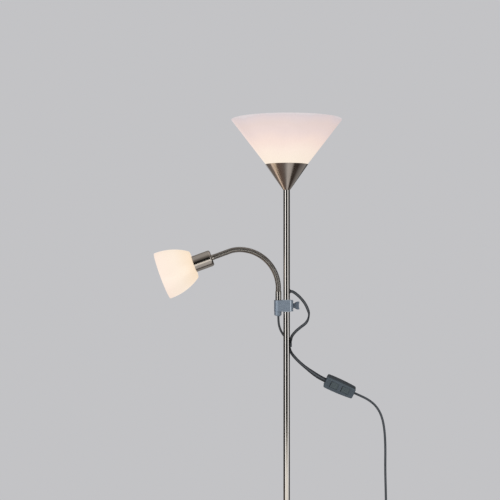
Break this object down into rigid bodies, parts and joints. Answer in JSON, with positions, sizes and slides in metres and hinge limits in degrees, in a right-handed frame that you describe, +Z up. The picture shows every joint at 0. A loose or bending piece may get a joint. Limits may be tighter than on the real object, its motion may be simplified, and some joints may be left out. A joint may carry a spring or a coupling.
{
  "type": "torchiere floor lamp with reading light",
  "caption": "Floor lamp with an upward conical shade on a straight pole and a bell-shaped reading light on a bendable arm clamped to the pole.",
  "frame": {"origin": "On the floor, at the centre of the base and on the pole's axis.", "axes": "+Z up along the pole, -X towards the reading light, +X towards the cord switch, -Y towards a viewer who faces the lamp."},
  "size_m": [0.5714, 0.28, 1.8],
  "materials": {
    "felt_pad": "closed-cell foam",
    "cast_iron": "as cast, painted",
    "nickel_base": "satin nickel plate",
    "nickel_turned": "turned, satin nickel plate",
    "nickel_pole": "satin nickel plate",
    "nickel_cup": "spun, satin nickel plate",
    "nickel_head": "satin nickel plate",
    "nickel_arm": "wound strip, satin nickel plate",
    "zinc_steel": "zinc plate",
    "brass": "bare brass",
    "bulb_cap": "rolled cap",
    "pin_metal": "nickel plate",
    "dark_rubber": "matte",
    "grey_cord": "matte sheath",
    "cord_sleeve": "matte sheath",
    "tie_strap": "hook and loop strap",
    "plug_plastic": "moulded",
    "switch_plastic": "moulded, fine grain",
    "rocker_plastic": "moulded, satin",
    "slate_plastic": "moulded, fine grain",
    "holder_plastic": "moulded",
    "pale_nylon": "moulded",
    "frosted_shade": "frosted, lit from within",
    "opal_shade": "opal, lit from within",
    "bulb_glass": "opal coated"
  },
  "bodies": {
    "stand": {"base_pad": "felt_pad", "base_weight": "cast_iron", "base_cover": "nickel_base", "base_washer": "zinc_steel", "base_collar": "nickel_turned", "lamp_nipples": "zinc_steel", "lamp_nuts": "zinc_steel", "pole_lower": "nickel_pole", "pole_middle": "nickel_pole", "pole_upper": "nickel_pole", "pole_couplers": "zinc_steel", "pole_inserts": "zinc_steel", "wire_grommet": "dark_rubber", "pole_lead": "grey_cord", "shade_cup": "nickel_cup", "main_holder": "holder_plastic", "main_contact": "brass", "shade_ring": "holder_plastic", "main_shade": "frosted_shade", "main_bulb_cap": "bulb_cap", "main_bulb_glass": "bulb_glass", "switch_front": "switch_plastic", "switch_back": "switch_plastic", "switch_screws": "zinc_steel", "terminal_block": "holder_plastic", "cord_main_branch": "grey_cord", "cord_reading_branch": "grey_cord", "cord_double": "grey_cord", "cord_supply": "grey_cord", "cord_coil": "grey_cord", "cord_plug_end": "grey_cord", "cord_sleeve": "cord_sleeve", "coil_tie": "tie_strap", "plug_body": "plug_plastic", "plug_pins": "pin_metal"},
    "clamp_slider": {"clamp_bush": "pale_nylon"},
    "arm_clamp": {"clamp_body": "slate_plastic", "clamp_shim": "pale_nylon", "clamp_cap": "slate_plastic", "clamp_screws": "zinc_steel", "cord_bush": "slate_plastic", "lower_ferrule": "nickel_turned", "arm_segment_1": "nickel_arm", "arm_lead": "grey_cord"},
    "screw_carriage": {"screw_pad": "pale_nylon"},
    "thumbscrew": {"thumbscrew": "slate_plastic"},
    "arm_second": {"arm_segment_2": "nickel_arm"},
    "arm_third": {"arm_segment_3": "nickel_arm"},
    "arm_fourth": {"arm_segment_4": "nickel_arm"},
    "reading_head": {"arm_segment_5": "nickel_arm", "upper_ferrule": "nickel_turned", "head_cup": "nickel_head", "arm_nut": "zinc_steel", "reading_holder": "holder_plastic", "reading_ring": "holder_plastic", "reading_shade": "opal_shade", "reading_bulb_cap": "bulb_cap", "reading_bulb_glass": "bulb_glass"},
    "main_rocker": {"rocker_main": "rocker_plastic"},
    "reading_rocker": {"rocker_reading": "rocker_plastic"}
  },
  "joints": [
    {"name": "clamp_slide", "type": "slide", "parent": "stand", "child": "clamp_slider", "axis": [0, 0, 1], "range_m": [-0.03, 0.005], "deforming": ["cord_main_branch", "cord_reading_branch"]},
    {"name": "clamp_swivel", "type": "hinge", "parent": "clamp_slider", "child": "arm_clamp", "pos_m": [0, 0, 1.348], "axis": [0, 0, 1], "range_deg": [-90, 90], "deforming": ["cord_main_branch", "cord_reading_branch"]},
    {"name": "thumbscrew_travel", "type": "slide", "parent": "arm_clamp", "child": "screw_carriage", "axis": [1, 0, 0], "range_m": [0, 0.002]},
    {"name": "thumbscrew_turn", "type": "hinge", "parent": "screw_carriage", "child": "thumbscrew", "pos_m": [0.02, 0, 1.348], "axis": [1, 0, 0], "range_deg": [0, 720]},
    {"name": "arm_bend_1", "type": "hinge", "parent": "arm_clamp", "child": "arm_second", "pos_m": [-0.02711, 0, 1.42557], "axis": [0, -1, 0], "range_deg": [-15, 15], "deforming": ["arm_lead"]},
    {"name": "arm_bend_2", "type": "hinge", "parent": "arm_second", "child": "arm_third", "pos_m": [-0.05287, 0, 1.46124], "axis": [0, -1, 0], "range_deg": [-15, 15], "deforming": ["arm_lead"]},
    {"name": "arm_bend_3", "type": "hinge", "parent": "arm_third", "child": "arm_fourth", "pos_m": [-0.09198, 0, 1.48138], "axis": [0, -1, 0], "range_deg": [-15, 15], "deforming": ["arm_lead"]},
    {"name": "arm_bend_4", "type": "hinge", "parent": "arm_fourth", "child": "reading_head", "pos_m": [-0.13586, 0, 1.48097], "axis": [0, -1, 0], "range_deg": [-15, 15], "deforming": ["arm_lead"]},
    {"name": "main_rocker_tilt", "type": "hinge", "parent": "stand", "child": "main_rocker", "pos_m": [0.1153, -0.00599, 1.15543], "axis": [0.3929, -0.2588, 0.8824], "range_deg": [-12, 0]},
    {"name": "reading_rocker_tilt", "type": "hinge", "parent": "stand", "child": "reading_rocker", "pos_m": [0.14179, -0.00599, 1.14364], "axis": [0.3929, -0.2588, 0.8824], "range_deg": [-12, 0]}
  ],
  "couplings": [
    {"joint": "thumbscrew_turn", "follows": "thumbscrew_travel", "rad_per_m": 6283.2},
    {"joint": "arm_bend_2", "follows": "arm_bend_1", "ratio": 1},
    {"joint": "arm_bend_3", "follows": "arm_bend_1", "ratio": 1},
    {"joint": "arm_bend_4", "follows": "arm_bend_1", "ratio": 1}
  ]
}
